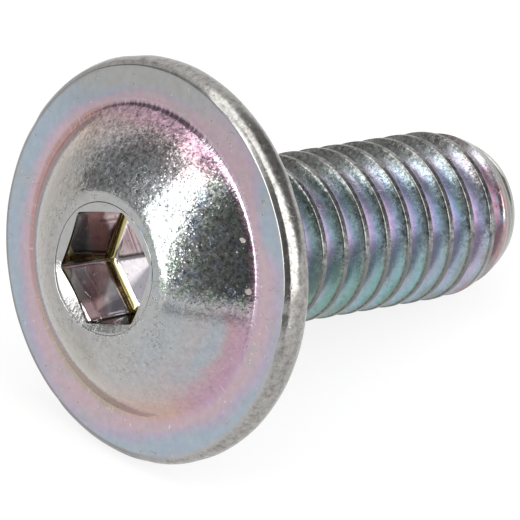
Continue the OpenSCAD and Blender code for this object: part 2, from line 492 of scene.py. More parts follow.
# %% [markdown]
# ## The skin becomes the screw
# The skin was drawn in the screw's own frame. Its vertices are now laid down where the screw lies,
# and each one remembers its own place, because the finish is drawn from it. The thin groove round
# the mouth is marked too. The object keeps no transform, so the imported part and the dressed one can
# be compared box by box.

# %% The screw
SHARP_ANGLE = math.radians(38)
own_place = np.array(vertices)
lying = own_place @ np.array(own_axes).T * MM + np.array(bearing_centre)
mesh = bpy.data.meshes.new("zinc_screw")
mesh.from_pydata(lying.tolist(), [], [tuple(int(i) for i in f) for f in faces])
mended = mesh.validate(verbose=False)
mesh.shade_smooth()
mesh.set_sharp_from_angle(angle=SHARP_ANGLE)
own_mark = mesh.attributes.new("own_place", "FLOAT_VECTOR", "POINT")
own_mark.data.foreach_set("vector", own_place.astype(np.float32).ravel())
groove = np.zeros(len(own_place), np.float32)
groove[rings[GROOVE_ROW]] = 1
groove_mark = mesh.attributes.new("mouth_edge", "FLOAT", "POINT")
groove_mark.data.foreach_set("value", groove)
screw = bpy.data.objects.new("zinc_screw", mesh)
scene.collection.objects.link(screw)
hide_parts("screw")
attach(screw, "root")
triangles = sum(len(p.vertices) - 2 for p in mesh.polygons)
print(len(mesh.vertices), "vertices,", triangles, "triangles, mended:", mended)

# %% [markdown]
# ## Finish: helpers
# The whole screw has one finish, bright zinc plate under a passivation film, so it has one material.
# Its nodes are made by a few short helpers, which set a value or link a socket by name. Drawing the
# tree by hand in the shader editor gives the same nodes, but a script can be read from top to bottom.
# A mask is a value that is 1 where a colour or a mark belongs and 0 elsewhere.

# %% Node helpers
zinc = bpy.data.materials.new("zinc_plate")
zinc.use_nodes = True
tree = zinc.node_tree
shader = tree.nodes["Principled BSDF"]


def put(kind, inputs, place=tree, **settings):
    """Adds a node to a tree, sets what it needs, and sets or links its inputs."""
    node = place.nodes.new("ShaderNode" + kind)
    for name, value in settings.items():
        setattr(node, name, value)
    for name, value in inputs.items():
        if isinstance(value, bpy.types.NodeSocket):
            place.links.new(value, node.inputs[name])
        else:
            node.inputs[name].default_value = value
    return node


def calc(operation, first, second=0.0, place=tree):
    return put("Math", {0: first, 1: second}, place, operation=operation).outputs[0]


def chain(operation, values):
    result = values[0]
    for value in values[1:]:
        result = calc(operation, result, value)
    return result


def both(*masks):
    """The product: 1 only where all masks are 1."""
    return chain("MULTIPLY", masks)


def most(*masks):
    """The largest of the masks at each place."""
    return chain("MAXIMUM", masks)


def total(*parts):
    return chain("ADD", parts)


print("material", zinc.name, "starts with", len(tree.nodes), "nodes")

# %% Helpers for soft steps
def spanned(value, *limits, step="LINEAR"):
    """The value between two limits, stretched to run from 0 to 1 or between two more limits."""
    return put("MapRange", dict(enumerate((value, *limits))), interpolation_type=step).outputs[0]


def fade(value, low, high):
    """0 below low, 1 above high, and a soft step between; low may be the larger one."""
    return spanned(value, low, high, step="SMOOTHSTEP")


def band(value, low, high, soft):
    """1 between low and high, fading out over soft on both sides."""
    return both(fade(value, low - soft, low + soft), fade(value, high + soft, high - soft))


def off_middle(noise, size):
    """A noise moved to run evenly below and above 0, and scaled."""
    return both(calc("SUBTRACT", noise, 0.5), size)


def outside(mask, strength):
    """1 away from the mask, and less by the strength where it is 1."""
    return calc("SUBTRACT", 1.0, both(mask, strength))


print("step helpers: spanned, fade, band, off_middle, outside")

# %% Helpers for colour
def vector_calc(operation, *values):
    """A vector node's outputs: a vector first, and a value for a length or a distance."""
    return put("VectorMath", dict(enumerate(values)), operation=operation).outputs


def blend(share, under, over):
    return put("Mix", {0: share, 6: under, 7: over}, data_type="RGBA").outputs[2]


def tint(film, mask, colour, strength=1.0):
    """Lays a colour over the film where the mask is 1."""
    over = (*colour, 1) if isinstance(colour, tuple) else colour
    return blend(both(mask, strength), film, over)


def dyed(film, dye):
    """The film with its three colours multiplied."""
    return vector_calc("MULTIPLY", film, dye)[0]


def scaled(vector, size):
    return put("VectorMath", {0: vector, "Scale": size}, operation="SCALE").outputs[0]


def ramp(value, stops, smooth="LINEAR"):
    """A colour ramp; a stop is a place and a grey or a colour."""
    node = put("ValToRGB", {"Fac": value})
    node.color_ramp.interpolation = smooth
    spots = node.color_ramp.elements
    while len(spots) < len(stops):
        spots.new(0.5)
    for spot, (at, colour) in zip(spots, stops):
        spot.position = at
        spot.color = (*(colour if isinstance(colour, tuple) else (colour,) * 3), 1)
    return node.outputs["Color"]


print("colour helpers: blend, tint, dyed, scaled, ramp")

# %% [markdown]
# ## Finish: where on the screw
# The film and the wear follow the shape of the screw and not the room: rings round the head, lines
# along the thread. Each vertex carries its place in the screw's own frame, in millimetres, and from
# it come the distance from the axis, the height, and the direction round the axis as a share of a
# turn: 0 is up in the picture and 0.25 is left.

# %% Places
own = put("Attribute", {}, attribute_name="own_place").outputs["Vector"]
flat_place = dyed(own, (1, 1, 0))
from_axis = vector_calc("LENGTH", flat_place)["Value"]
around = vector_calc("NORMALIZE", flat_place)[0]
own_xyz = put("SeparateXYZ", {0: own})
height = own_xyz.outputs["Z"]
bearing = calc("ARCTAN2", own_xyz.outputs["Y"], own_xyz.outputs["X"])
turned = calc("FRACT", total(calc("DIVIDE", bearing, 2 * math.pi), 1))
in_shank = fade(height, -0.15, -0.35)
on_front = fade(height, 0.25, 0.5)
in_socket = both(fade(from_axis, MOUTH_R + 0.01, MOUTH_R - 0.02), fade(height, 0.0, 0.2))
on_flange = fade(from_axis, DOME_R, DOME_R + 0.25)
on_rim = fade(from_axis, 4.48, 4.6)
print("places: from_axis, height, around, turned")

# %% Noise on the screw
def grain(scale, detail=2.0, rough=0.5, vector=own):
    """Cloudy noise; a larger scale makes smaller lumps."""
    inputs = {"Vector": vector, "Scale": scale, "Detail": detail, "Roughness": rough}
    return put("TexNoise", inputs).outputs["Fac"]


def cells(scale):
    """Random cells: the distance from each middle, and a random colour."""
    return put("TexVoronoi", {"Vector": own, "Scale": scale}).outputs


print("noise helpers: grain, cells")

# %% [markdown]
# ## Finish: the film on the head
# The passivation film is thicker in the hollow at the foot of the dome, where the bath drains last.
# Thin films show colours in a fixed order as they thicken: grey, blue, lavender, pink, brown, olive.
# So one ramp over the distance from the axis draws all the rings. A slow noise makes them uneven, and
# on the flange they spread wider or narrower round the head, as they do on the real screw.

# %% Film colours and unevenness
NEUTRAL = (0.395, 0.395, 0.39)
WARM = (0.34, 0.32, 0.295)
TEAL = (0.34, 0.4, 0.46)
LAVENDER = (0.415, 0.365, 0.455)
PINK = (0.485, 0.37, 0.41)
PALE_PINK = (0.6, 0.52, 0.57)
RED_BROWN = (0.4, 0.24, 0.22)
OLIVE = (0.46, 0.43, 0.31)
SHADE = (0.05, 0.05, 0.05)

slow = grain(0.9)
fine = grain(3.0)
streak_place = scaled(around, DOME_R)
streak = grain(9.0, 3.0, 0.7, streak_place)
turned_uneven = total(turned, off_middle(slow, 0.08))
print("noises: slow, fine, streak")

# %% How far the rings spread
FILM_FOOT = 3.72
WIDEST_SPREAD = 4
LEAST_SPREAD = 0.45
DOME_UNEVENNESS = 0.4
ring_spread = ramp(turned, [
    (0.0, 0.3), (0.11, 0.2), (0.25, 0.25), (0.33, 0.32), (0.39, 0.55), (0.444, 0.75),
    (0.5, 0.5), (0.556, 0.32), (0.61, 0.27), (0.667, 0.4), (0.72, 0.6), (0.8, 0.6),
    (0.845, 0.2), (0.87, 0.3), (0.903, 0.9), (0.95, 0.85), (1.0, 0.3),
], "EASE")
uneven = total(off_middle(slow, 1.2), off_middle(fine, 0.5))
flange_uneven = total(uneven, off_middle(streak, 0.9))
spread = most(total(both(ring_spread, WIDEST_SPREAD), flange_uneven), LEAST_SPREAD)
past_foot = most(calc("SUBTRACT", from_axis, FILM_FOOT), 0)
before_foot = calc("MINIMUM", from_axis, FILM_FOOT)
dome_uneven = both(uneven, fade(from_axis, DOME_R, 3.3), DOME_UNEVENNESS)
ring_place = total(before_foot, dome_uneven, calc("DIVIDE", past_foot, spread))
print("rings spread from", LEAST_SPREAD, "to", WIDEST_SPREAD, "times past", FILM_FOOT, "mm")

# %% Rings of film
RINGS_FROM = 1.5
RINGS_TO = 5.6
ring_share = spanned(ring_place, RINGS_FROM, RINGS_TO)
FLANGE_RINGS = (
    (3.76, PINK), (3.84, PINK), (3.95, LAVENDER), (4.1, TEAL), (4.5, TEAL), (4.9, NEUTRAL),
)


def ring_film(*dome_rings):
    """A ramp of rings by their radius in millimetres, on the dome and then on the flange."""
    return ramp(ring_share, [
        ((radius - RINGS_FROM) / (RINGS_TO - RINGS_FROM), colour)
        for radius, colour in ((RINGS_FROM, NEUTRAL), *dome_rings, *FLANGE_RINGS)
    ])


pink_head = ring_film(
    (2.3, (0.375, 0.395, 0.41)), (2.75, (0.4, 0.385, 0.395)), (3.12, (0.42, 0.36, 0.37)),
    (3.32, (0.43, 0.3, 0.34)), (3.5, (0.43, 0.285, 0.36)), (3.65, (0.44, 0.31, 0.4)),
)
orange_head = ring_film(
    (2.7, (0.4, 0.385, 0.385)), (3.05, (0.45, 0.38, 0.36)), (3.3, (0.48, 0.34, 0.29)),
    (3.55, (0.5, 0.34, 0.3)), (3.67, (0.5, 0.36, 0.38)),
)
brown_head = ring_film(
    (2.1, WARM), (2.7, (0.325, 0.3, 0.275)), (3.05, (0.42, 0.36, 0.32)), (3.3, (0.44, 0.34, 0.29)),
    (3.5, (0.4, 0.275, 0.25)), (3.62, RED_BROWN), (3.7, (0.42, 0.27, 0.27)),
)
olive_head = ring_film(
    (2.1, WARM), (2.6, (0.37, 0.35, 0.32)), (3.05, (0.47, 0.44, 0.37)), (3.35, OLIVE),
    (3.56, (0.41, 0.37, 0.26)), (3.66, (0.41, 0.34, 0.28)),
)
print("rings of film from", RINGS_FROM, "to", RINGS_TO, "mm")

# %% Sides of the head
olive_side = ramp(turned_uneven, [(0.32, 0.0), (0.4, 1.0)])
orange_side = ramp(turned_uneven, [(0.49, 0.0), (0.53, 1.0)])
pink_side = ramp(turned_uneven, [
    (0.0, 1.0), (0.06, 0.8), (0.13, 0.0), (0.58, 0.0), (0.64, 1.0), (1.0, 1.0),
])
head_film = blend(orange_side, blend(olive_side, brown_head, olive_head), orange_head)
head_film = blend(pink_side, head_film, pink_head)
teal_patch = both(band(turned_uneven, 0.66, 0.75, 0.03), band(ring_place, 2.9, 3.2, 0.12))
head_film = tint(head_film, teal_patch, (0.34, 0.385, 0.42), strength=0.85)
right_side = both(band(turned_uneven, 0.775, 0.92, 0.02), fade(from_axis, 3.54, 3.46))
right_film = ramp(fine, [
    (0.35, (0.33, 0.385, 0.345)), (0.5, (0.37, 0.38, 0.37)), (0.65, (0.34, 0.385, 0.43)),
])
head_film = tint(head_film, right_side, right_film)
# Pale pink streaks along the foot on the right side: streaky film, and lighter there as a painted
# highlight.
foot_streaks_and_highlight = both(band(turned_uneven, 0.77, 0.97, 0.02), band(from_axis, 3.52, 3.7, 0.04))
head_film = tint(head_film, both(foot_streaks_and_highlight, fade(streak, 0.4, 0.6)), PALE_PINK, strength=0.85)
print("film changes round the head: olive, orange, pink, teal")

# %% [markdown]
# ## Finish: where the film is rubbed off
# On the flange the film is worn in patches and turns grey towards the edge, most of all at the top,
# where the flange is also painted darker as painted shade.
# The rim was rubbed in the barrel, so it is plain mottled metal, darker on its left side. The
# bearing face at the back has only a faint film.

# %% Rim and back of the head
top_side = ramp(turned, [(0.0, 1.0), (0.09, 1.0), (0.15, 0.0), (0.93, 0.0), (0.97, 0.8), (1.0, 1.0)])
faded = both(fade(grain(2.2, 3.0), 0.5, 0.72), 0.5, on_flange)
rim_grey = most(both(top_side, fade(from_axis, 3.85, 4.15)), fade(from_axis, 4.4, 4.52))
head_film = tint(head_film, most(rim_grey, faded), NEUTRAL)
# Painted shade: the top of the flange is darker.
painted_top_shade = ramp(turned, [(0.0, 0.86), (0.12, 0.86), (0.18, 1.0), (0.83, 1.0), (0.88, 0.9), (1.0, 0.86)])
head_film = dyed(head_film, blend(on_flange, (1, 1, 1, 1), painted_top_shade))
back_film = ramp(slow, [(0.35, (0.37, 0.39, 0.41)), (0.5, NEUTRAL), (0.65, (0.4, 0.38, 0.4))])
head_film = blend(on_front, back_film, head_film)
rim_streak = total(both(grain(16.0, 3.0, 0.7, streak_place), 0.15), both(grain(7.0, 5.0, 0.7), 0.85))
rim_film = ramp(rim_streak, [
    (0.36, (0.2, 0.19, 0.175)), (0.5, (0.33, 0.317, 0.3)), (0.66, (0.42, 0.41, 0.4)),
])
head_film = tint(head_film, on_rim, rim_film)
left_rim = both(band(turned, 0.12, 0.55, 0.04), fade(from_axis, 4.42, 4.5))
head_film = tint(head_film, left_rim, (0.13, 0.13, 0.13), strength=0.6)
print("film of the head done,", len(tree.nodes), "nodes so far")

# %% [markdown]
# ## Finish: the film on the thread
# In the thread the film changes from root to crest, lavender deep down, then teal, then a green grey,
# and the crests are rubbed to plain metal. Towards the head it is greener, at the point pink and red.
# The top of the thread and the crests on its lower side are painted darker as painted shade, and
# bands of painted shade lie along the crests.
# The helix gives each place its distance past the nearest crest, so a crest's two edges and its two
# flanks can be told apart without painting them by hand.

# %% Film along the ridge
ridge_share = spanned(from_axis, ROOT_R, CREST_R)
CREST_OFFSET = first_crest - PITCH * SOCKET_TURN / (2 * math.pi) + PITCH / 2
crest_height = total(both(turned, PITCH), CREST_OFFSET)
crests_down = calc("DIVIDE", calc("SUBTRACT", crest_height, height), PITCH)
past_crest = calc("SUBTRACT", calc("FRACT", crests_down), 0.5)
thread_noise = grain(1.1)
film_depth = total(ridge_share, off_middle(thread_noise, 0.6))
thread_film = ramp(film_depth, [
    (0.0, (0.53, 0.42, 0.51)), (0.25, (0.5, 0.43, 0.56)), (0.45, (0.41, 0.45, 0.58)),
    (0.65, (0.35, 0.45, 0.53)), (0.85, (0.28, 0.335, 0.33)),
])
near_head = both(fade(height, -6.0, -3.0), fade(film_depth, 0.25, 0.5))
thread_film = tint(thread_film, near_head, (0.27, 0.36, 0.31), strength=0.5)
low_side = both(band(turned, 0.63, 0.76, 0.04), band(height, -7.0, -3.0, 0.8))
thread_film = tint(thread_film, low_side, dyed(thread_film, (0.76, 0.99, 0.88)))
thread_film = tint(thread_film, fade(height, -7.8, -9.0), dyed(thread_film, (1.22, 1.05, 1.08)))
# Painted shade: the top of the thread is darker.
thread_top = ramp(turned, [(0.0, 1.0), (0.1, 1.0), (0.18, 0.0), (0.91, 0.0), (0.96, 0.6), (1.0, 1.0)])
thread_film = tint(thread_film, thread_top, (0.25, 0.245, 0.225), strength=0.85)
print("film along the ridge, first crest at", round(first_crest, 3), "mm")

# %% Point and crests
point_pink = both(band(height, -9.3, -8.6, 0.4), fade(thread_noise, 0.42, 0.62))
thread_film = tint(thread_film, point_pink, (0.42, 0.27, 0.31), strength=0.7)
thread_film = tint(thread_film, fade(height, -8.9, -9.5), (0.36, 0.355, 0.335))
point_red = both(band(turned, 0.7, 0.9, 0.04), band(height, -9.5, -9.0, 0.15))
point_red = both(point_red, fade(grain(3.5, 3.0), 0.38, 0.58))
thread_film = tint(thread_film, point_red, (0.48, 0.27, 0.29), strength=0.75)
# Painted shadow: a dark band just past each crest, on its side towards the point.
thread_film = tint(thread_film, band(past_crest, 0.07, 0.32, 0.02), SHADE, strength=0.4)
on_crest = both(fade(ridge_share, 0.86, 0.95), fade(height, -9.2, -8.9))
# Painted shade: the grey of the crests is darker on the lower side of the shank.
crest_grey_and_shade = ramp(turned, [
    (0.55, 0.09), (0.66, 0.13), (0.74, 0.18), (0.82, 0.25), (0.92, 0.27), (1.0, 0.19),
])
thread_film = tint(thread_film, on_crest, crest_grey_and_shade, strength=0.9)
# Painted shade along the head side of each crest, on the lower right of the shank.
head_edge_shade = both(band(past_crest, -0.13, -0.07, 0.015), band(turned, 0.6, 0.9, 0.04))
thread_film = tint(thread_film, head_edge_shade, SHADE, strength=0.4)
crest_edge = both(band(past_crest, -0.12, -0.1, 0.01), fade(grain(16.0), 0.46, 0.62))
thread_film = tint(thread_film, both(crest_edge, fade(ridge_share, 0.7, 0.9)), (0.29, 0.28, 0.26))
print("film of the thread done,", len(tree.nodes), "nodes so far")

# %% [markdown]
# ## Finish: the film in the socket
# In the socket the bath hardly moves, so the film there is thick: brown on the walls and olive along
# the edge of the floor. Each wall also has its own painted light and shade, from near white to near
# black, so the ramps step from wall to wall. The floor mirrors the walls; its colour is painted near
# white as a painted highlight, greyer on its low side as painted shade, with lines from the punch on
# its high side.

# %% Walls of the socket
WALL_STARTS = (0.0, 0.147, 0.314, 0.48, 0.647, 0.814, 0.98)


def by_wall(*colours):
    """A colour for each of the six walls, film with painted light and shade; the first wall comes again
    at the end of the turn.
    """
    return ramp(turned, list(zip(WALL_STARTS, (*colours, colours[0]))), "CONSTANT")


socket_share = spanned(height, HEAD_H - SOCKET_DEPTH, HEAD_H)
# Painted light and shade: each wall's colour is its film made lighter or darker, some near white and some
# near black.
low_walls_painted_light = by_wall(
    (0.17, 0.17, 0.16), (0.48, 0.41, 0.39), (0.97, 0.95, 0.95),
    (0.08, 0.08, 0.075), (0.25, 0.22, 0.2), (0.2, 0.14, 0.14),
)
high_walls_painted_light = by_wall(
    (0.17, 0.11, 0.105), (0.52, 0.48, 0.48), (0.97, 0.96, 0.96),
    (0.09, 0.052, 0.047), (0.25, 0.22, 0.2), (0.3, 0.22, 0.22),
)
wall_film_and_painted_light = blend(fade(total(socket_share, off_middle(fine, 0.2)), 0.4, 0.62), low_walls_painted_light, high_walls_painted_light)
wall_film_and_painted_light = tint(wall_film_and_painted_light, fade(socket_share, 0.88, 0.95), NEUTRAL)
print("film of", len(WALL_STARTS) - 1, "socket walls done")

# %% Floor of the socket
# Painted highlight: the floor is coloured near white; the olive edge is film.
floor_film_and_painted_light = ramp(socket_share, [
    (0.0, (1.0, 0.95, 0.99)), (0.006, (1.0, 0.95, 0.97)), (0.02, (0.42, 0.37, 0.17)),
    (0.1, (0.36, 0.31, 0.15)),
])
on_floor = fade(socket_share, 0.014, 0.006)
# Painted shade: the low side of the floor is greyer.
low_floor_painted_shade = ramp(turned, [(0.39, 0.0), (0.43, 1.0), (0.49, 1.0), (0.52, 0.0)])
floor_film_and_painted_light = tint(floor_film_and_painted_light, both(low_floor_painted_shade, on_floor), (0.39, 0.38, 0.42))
slanted = vector_calc("DOT_PRODUCT", own, (1, -1, 0))["Value"]
lines = put("TexNoise", {"W": slanted, "Scale": 7.0, "Detail": 3.0}, noise_dimensions="1D").outputs["Fac"]
punched = ramp(lines, [(0.4, (0.5, 0.38, 0.43)), (0.5, (0.72, 0.6, 0.68)), (0.6, (1.0, 0.95, 1.0))])
high_floor = ramp(turned, [(0.1, 0.0), (0.13, 1.0), (0.25, 1.0), (0.28, 0.0)])
floor_film_and_painted_light = tint(floor_film_and_painted_light, both(high_floor, on_floor), punched)
socket_film_and_painted_light = blend(fade(socket_share, 0.1, 0.18), floor_film_and_painted_light, wall_film_and_painted_light)
film = blend(in_socket, head_film, socket_film_and_painted_light)
film = blend(in_shank, film, thread_film)
print("films of head, thread and socket joined")

# %% [markdown]
# ## Finish: marks
# The plating barrel leaves pits, short scratches and specks, and the forging left fine cracks round
# the mouth. Each kind is a mask made from noise or from random cells, and all dark ones are gathered
# in one mask, so that they can be darker, duller and deeper together. Two chips near the foot of the
# dome are placed one by one. An image of dirt could do this faster, but it would repeat and blur.

# %% Pits, scratches and cracks
pit_noise = grain(14.0)
pit_size = both(calc("SUBTRACT", pit_noise, 0.42), 0.22)
pits = fade(calc("SUBTRACT", cells(3.2)["Distance"], pit_size), 0.03, 0.0)
line_off = calc("ABSOLUTE", calc("SUBTRACT", grain(1.6, 3.0, 0.55), 0.5))
scratches = both(fade(line_off, 0.006, 0.0), fade(grain(2.3, 1.0), 0.56, 0.66))
crack_off = calc("ABSOLUTE", calc("SUBTRACT", grain(4.5, 3.0, 0.6), 0.5))
cracks = both(fade(crack_off, 0.022, 0.006), fade(grain(3.4, 1.0), 0.48, 0.58))
cracks = both(cracks, band(from_axis, 1.55, 2.5, 0.12))
rim_pits = both(fade(grain(6.0, 4.0, 0.7), 0.6, 0.68), on_rim)
edge_line = put("Attribute", {}, attribute_name="mouth_edge").outputs["Fac"]
# The groove round the mouth is drawn darker, less on the crushed lower side.
mouth_line = both(fade(edge_line, 0.2, 0.9), fade(fine, 0.25, 0.45))
crushed_side = ramp(turned, [(0.36, 0.0), (0.44, 1.0), (0.68, 1.0), (0.76, 0.0)])
mouth_line = both(mouth_line, outside(crushed_side, strength=0.7))
marks = most(pits, mouth_line, both(scratches, 0.5), both(cracks, 0.7), both(rim_pits, 0.8))
print("marks: pits, scratches, cracks, mouth line")

# %% Specks, chips and sparks
# A chip is a radius, a direction in degrees, a height and a size
CHIPS = ((3.44, 302.5, 0.89, 0.075), (3.49, 283.3, 0.85, 0.085))
SPECKS_PER_MM = 5.0
SPARKS_PER_MM = 11.0
speck_cells = cells(SPECKS_PER_MM)
speck_kind = put("SeparateColor", {0: speck_cells["Color"]}).outputs["Red"]
speck = fade(speck_cells["Distance"], 0.11, 0.06)
marks = most(marks, both(speck, fade(speck_kind, 0.72, 0.77)))
chips = both(speck, fade(speck_kind, 0.2, 0.15), on_flange)
for radius, angle, chip_height, size in CHIPS:
    a = math.radians(angle)
    middle = (radius * math.cos(a), radius * math.sin(a), chip_height)
    off_chip = vector_calc("DISTANCE", own, middle)["Value"]
    chips = most(chips, fade(total(off_chip, off_middle(pit_noise, 0.12)), size, size * 0.75))
spark_cells = cells(SPARKS_PER_MM)
spark_kind = put("SeparateColor", {0: spark_cells["Color"]}).outputs["Green"]
sparks = both(fade(spark_cells["Distance"], 0.34, 0.24), fade(spark_kind, 0.9, 0.93))
spark_side = both(band(turned_uneven, 0.48, 0.8, 0.05), band(from_axis, 3.5, 4.05, 0.12))
chips = both(most(chips, both(sparks, spark_side, 0.8)), on_front)
print(len(CHIPS), "chips placed by hand, specks and sparks by noise")

# %% [markdown]
# ## Finish: crystals and colour
# Zinc grows as fine crystals, which make the dome look grainy on its upper and right sides. Small
# cells give each crystal its own brightness, and a coarser noise gathers them in patches. Whiskers
# of bare and dark metal stand round the foot of the dome, where the forging die closed. The dark ones
# stand only on the top side, where they also lay painted shade in the crease at the foot.

# %% Crystals
CRYSTALS_PER_MM = 30
CRYSTAL_CONTRAST = 0.4
PATCH_CONTRAST = 3.4
DARKEST_CRYSTAL = 0.3
THREAD_LIVELINESS = 0.55
mottle = grain(5.0, 4.0, 0.65)
worn_film = scaled(film, spanned(mottle, 0.25, 0.75, 0.9, 1.08))
crystals = cells(CRYSTALS_PER_MM)["Color"]
crystal_light = put("SeparateColor", {0: crystals}).outputs["Blue"]
on_dome = both(fade(from_axis, 1.7, 1.9), fade(from_axis, 3.65, 3.55))
speckle_side = ramp(turned, [
    (0.0, 1.0), (0.1, 0.8), (0.17, 0.15), (0.74, 0.15), (0.79, 1.0), (1.0, 1.0),
])
lively = most(both(on_dome, speckle_side), both(in_shank, thread_top, THREAD_LIVELINESS))
speckle = total(both(off_middle(crystal_light, CRYSTAL_CONTRAST), lively), 1.0)
patchy = both(off_middle(grain(9.0, 3.0, 0.7), PATCH_CONTRAST), lively)
worn_film = scaled(worn_film, most(total(speckle, patchy), DARKEST_CRYSTAL))
print(CRYSTALS_PER_MM, "crystals per mm")

# %% Colour
# Painted shade: the dark whiskers sit only on the top side, in the crease at the foot of the dome.
whisker_shade_side = ramp(turned, [
    (0.0, 1.0), (0.08, 0.8), (0.12, 0.0), (0.92, 0.0), (0.98, 1.0), (1.0, 1.0),
])
dark_whiskers_and_shade = both(band(from_axis, 3.56, 3.68, 0.05), fade(streak, 0.56, 0.46), whisker_shade_side, on_front)
whisker_pale = both(band(from_axis, 3.58, 3.74, 0.06), fade(streak, 0.58, 0.66), on_front)
colour = tint(worn_film, dark_whiskers_and_shade, (0.1, 0.09, 0.085), strength=0.8)
colour = tint(colour, whisker_pale, PALE_PINK, strength=0.5)
marks = both(marks, outside(in_shank, strength=0.5))
colour = tint(colour, marks, (0.1, 0.095, 0.09), strength=0.7)
colour = tint(colour, chips, (0.62, 0.56, 0.51))
tree.links.new(colour, shader.inputs["Base Color"])
print("colour done,", len(tree.nodes), "nodes so far")

# %% [markdown]
# ## Finish: sparkle
# Single crystals flash because each one lies at its own angle. So each cell turns the shading normal,
# a little for most cells and a lot for a few: a random tilt to the fifth power is small nearly
# everywhere. Real facets would need millions of faces. The flange, the socket and the shank are calmer.

# %% Crystal tilt
CRYSTAL_TILT = 0.07
LEAST_LIVELINESS = 0.4
FLANGE_CALM = 0.85
SOCKET_CALM = 0.9
SHANK_CALM = 0.55
tilt = vector_calc("MULTIPLY_ADD", crystals, (2, 2, 2), (-1, -1, -1))[0]
tilt_squared = dyed(tilt, tilt)
tilt_fifth = dyed(tilt_squared, dyed(tilt_squared, tilt))
calm_flange = both(band(from_axis, 3.75, 4.5, 0.05), FLANGE_CALM)
calm = most(calm_flange, both(in_socket, SOCKET_CALM), both(in_shank, SHANK_CALM))
tilt_size = both(outside(calm, strength=1.0), total(lively, LEAST_LIVELINESS), CRYSTAL_TILT)
surface = put("NewGeometry", {}).outputs["Normal"]
sparkling = vector_calc("ADD", surface, scaled(tilt_fifth, tilt_size))[0]
sparkling = vector_calc("NORMALIZE", sparkling)[0]
print("crystals tilt by up to", CRYSTAL_TILT * (1 + LEAST_LIVELINESS))

# %% [markdown]
# ## Finish: small relief and gloss
# The skin of the plate is slightly uneven, like the peel of an orange, and it is crushed round the
# lower mouth of the socket, where the punch tore the metal. These are a few thousandths of a
# millimetre high, so a bump is enough. Gloss varies softly: rubbed rim, flange and shank are duller
# than the dome, and the socket is the smoothest.

# %% Relief
BUMP_MM = 0.004
MARK_DEPTH = -0.9
streaks = both(streak, on_front, band(from_axis, 3.56, 3.78, 0.06))
near_mouth = band(from_axis, 1.42, 1.75, 0.06)
crushed = both(band(from_axis, 1.3, 1.66, 0.06), fade(height, 1.8, 1.88), crushed_side)
skin = total(
    both(grain(11.0, 4.0, 0.7), 0.1),
    both(marks, MARK_DEPTH),
    both(streaks, 2.5),
    both(grain(7.0, 3.0, 0.6), total(lively, both(near_mouth, 0.9))),
    both(grain(9.0, 4.0, 0.6), crushed, 7.0),
    both(grain(8.0, 5.0, 0.7), on_rim, 0.7),
)
relief = {"Height": skin, "Strength": 1.0, "Distance": BUMP_MM * MM, "Normal": sparkling}
tree.links.new(put("Bump", relief).outputs["Normal"], shader.inputs["Normal"])
print("relief of", BUMP_MM, "mm")

# %% Gloss
SMOOTHEST = 0.1
ROUGHEST = 0.16
gloss = total(
    spanned(mottle, 0.2, 0.8, SMOOTHEST, ROUGHEST),
    both(most(marks, on_flange), 0.05),
    both(in_shank, 0.12),
    both(chips, 0.3),
    both(on_rim, 0.06),
    both(in_socket, -0.06),
)
tree.links.new(gloss, shader.inputs["Roughness"])
shader.inputs["Metallic"].default_value = 1
mesh.materials.append(zinc)
print("zinc finish has", len(tree.nodes), "nodes")

# %% [markdown]
# ## Table
# The photograph shows plain white, so the screw lies on a wide white table. A table lit to white
# would need so much light that the metal clips. So its colour is grey, and for rays that look at the
# background its emission tops it up to white, while the soft shadow under the screw stays.

# %% Studio helpers
def matt(name, grey):
    """A material without any gloss that can also glow, and its shader."""
    material = bpy.data.materials.new(name)
    material.use_nodes = True
    matt_shader = material.node_tree.nodes["Principled BSDF"]
    matt_shader.inputs["Base Color"].default_value = (grey, grey, grey, 1)
    matt_shader.inputs["Roughness"].default_value = 1
    matt_shader.inputs["Emission Color"].default_value = (1, 1, 1, 1)
    return material, matt_shader


def seen_rays(place):
    """1 for rays that look at the background: from the camera, off metal, or through glass."""
    path = put("LightPath", {}, place).outputs
    either = calc("MAXIMUM", path["Is Camera Ray"], path["Is Glossy Ray"], place)
    return calc("MAXIMUM", either, path["Is Transmission Ray"], place)


print("studio helpers: matt, seen_rays")

# %% Table
FLOOR_HALF = 1.5
FLOOR_TOP_UP = 0.82
FLOOR_GREY = 0.25
floor_mesh = bpy.data.meshes.new("floor")
floor_corners = [(x * FLOOR_HALF, y * FLOOR_HALF, 0) for x, y in ((-1, -1), (1, -1), (1, 1), (-1, 1))]
floor_mesh.from_pydata(floor_corners, [], [(0, 1, 2, 3)])
floor = bpy.data.objects.new("floor", floor_mesh)
scene.collection.objects.link(floor)
white_table, table_shader = matt("white_table", FLOOR_GREY)
table_shader.inputs["Specular IOR Level"].default_value = 0
table = white_table.node_tree
top_up = calc("MULTIPLY", seen_rays(table), FLOOR_TOP_UP, table)
table.links.new(top_up, table_shader.inputs["Emission Strength"])
floor_mesh.materials.append(white_table)
print("table", 2 * FLOOR_HALF, "m wide")

# %% [markdown]
# ## Backdrop
# A white sky closes the scene. It is white for the camera and for reflections and gives only little
# light by itself, so that the lamps shape the screw. A white wall would do the same, but it would
# also send light back onto the table.

# %% Backdrop
WORLD_LIGHT = 0.1
world = bpy.data.worlds.new("studio")
scene.world = world
world.use_nodes = True
sky = world.node_tree
backdrop = sky.nodes["Background"]
backdrop.inputs["Color"].default_value = (1, 1, 1, 1)
shown = calc("MAXIMUM", seen_rays(sky), WORLD_LIGHT, sky)
sky.links.new(shown, backdrop.inputs["Strength"])
print("backdrop gives", WORLD_LIGHT, "of its white as light")

# %% [markdown]
# ## Lamps
# A shiny dome is a map of its studio. The white stripe on it is a tall softbox on the left, a second
# softbox at the front lights the thread, and a square lamp overhead lights the table. Their places
# were read from where the dome of the screw shows them.

# %% Softboxes
STUDIO_R = 0.45


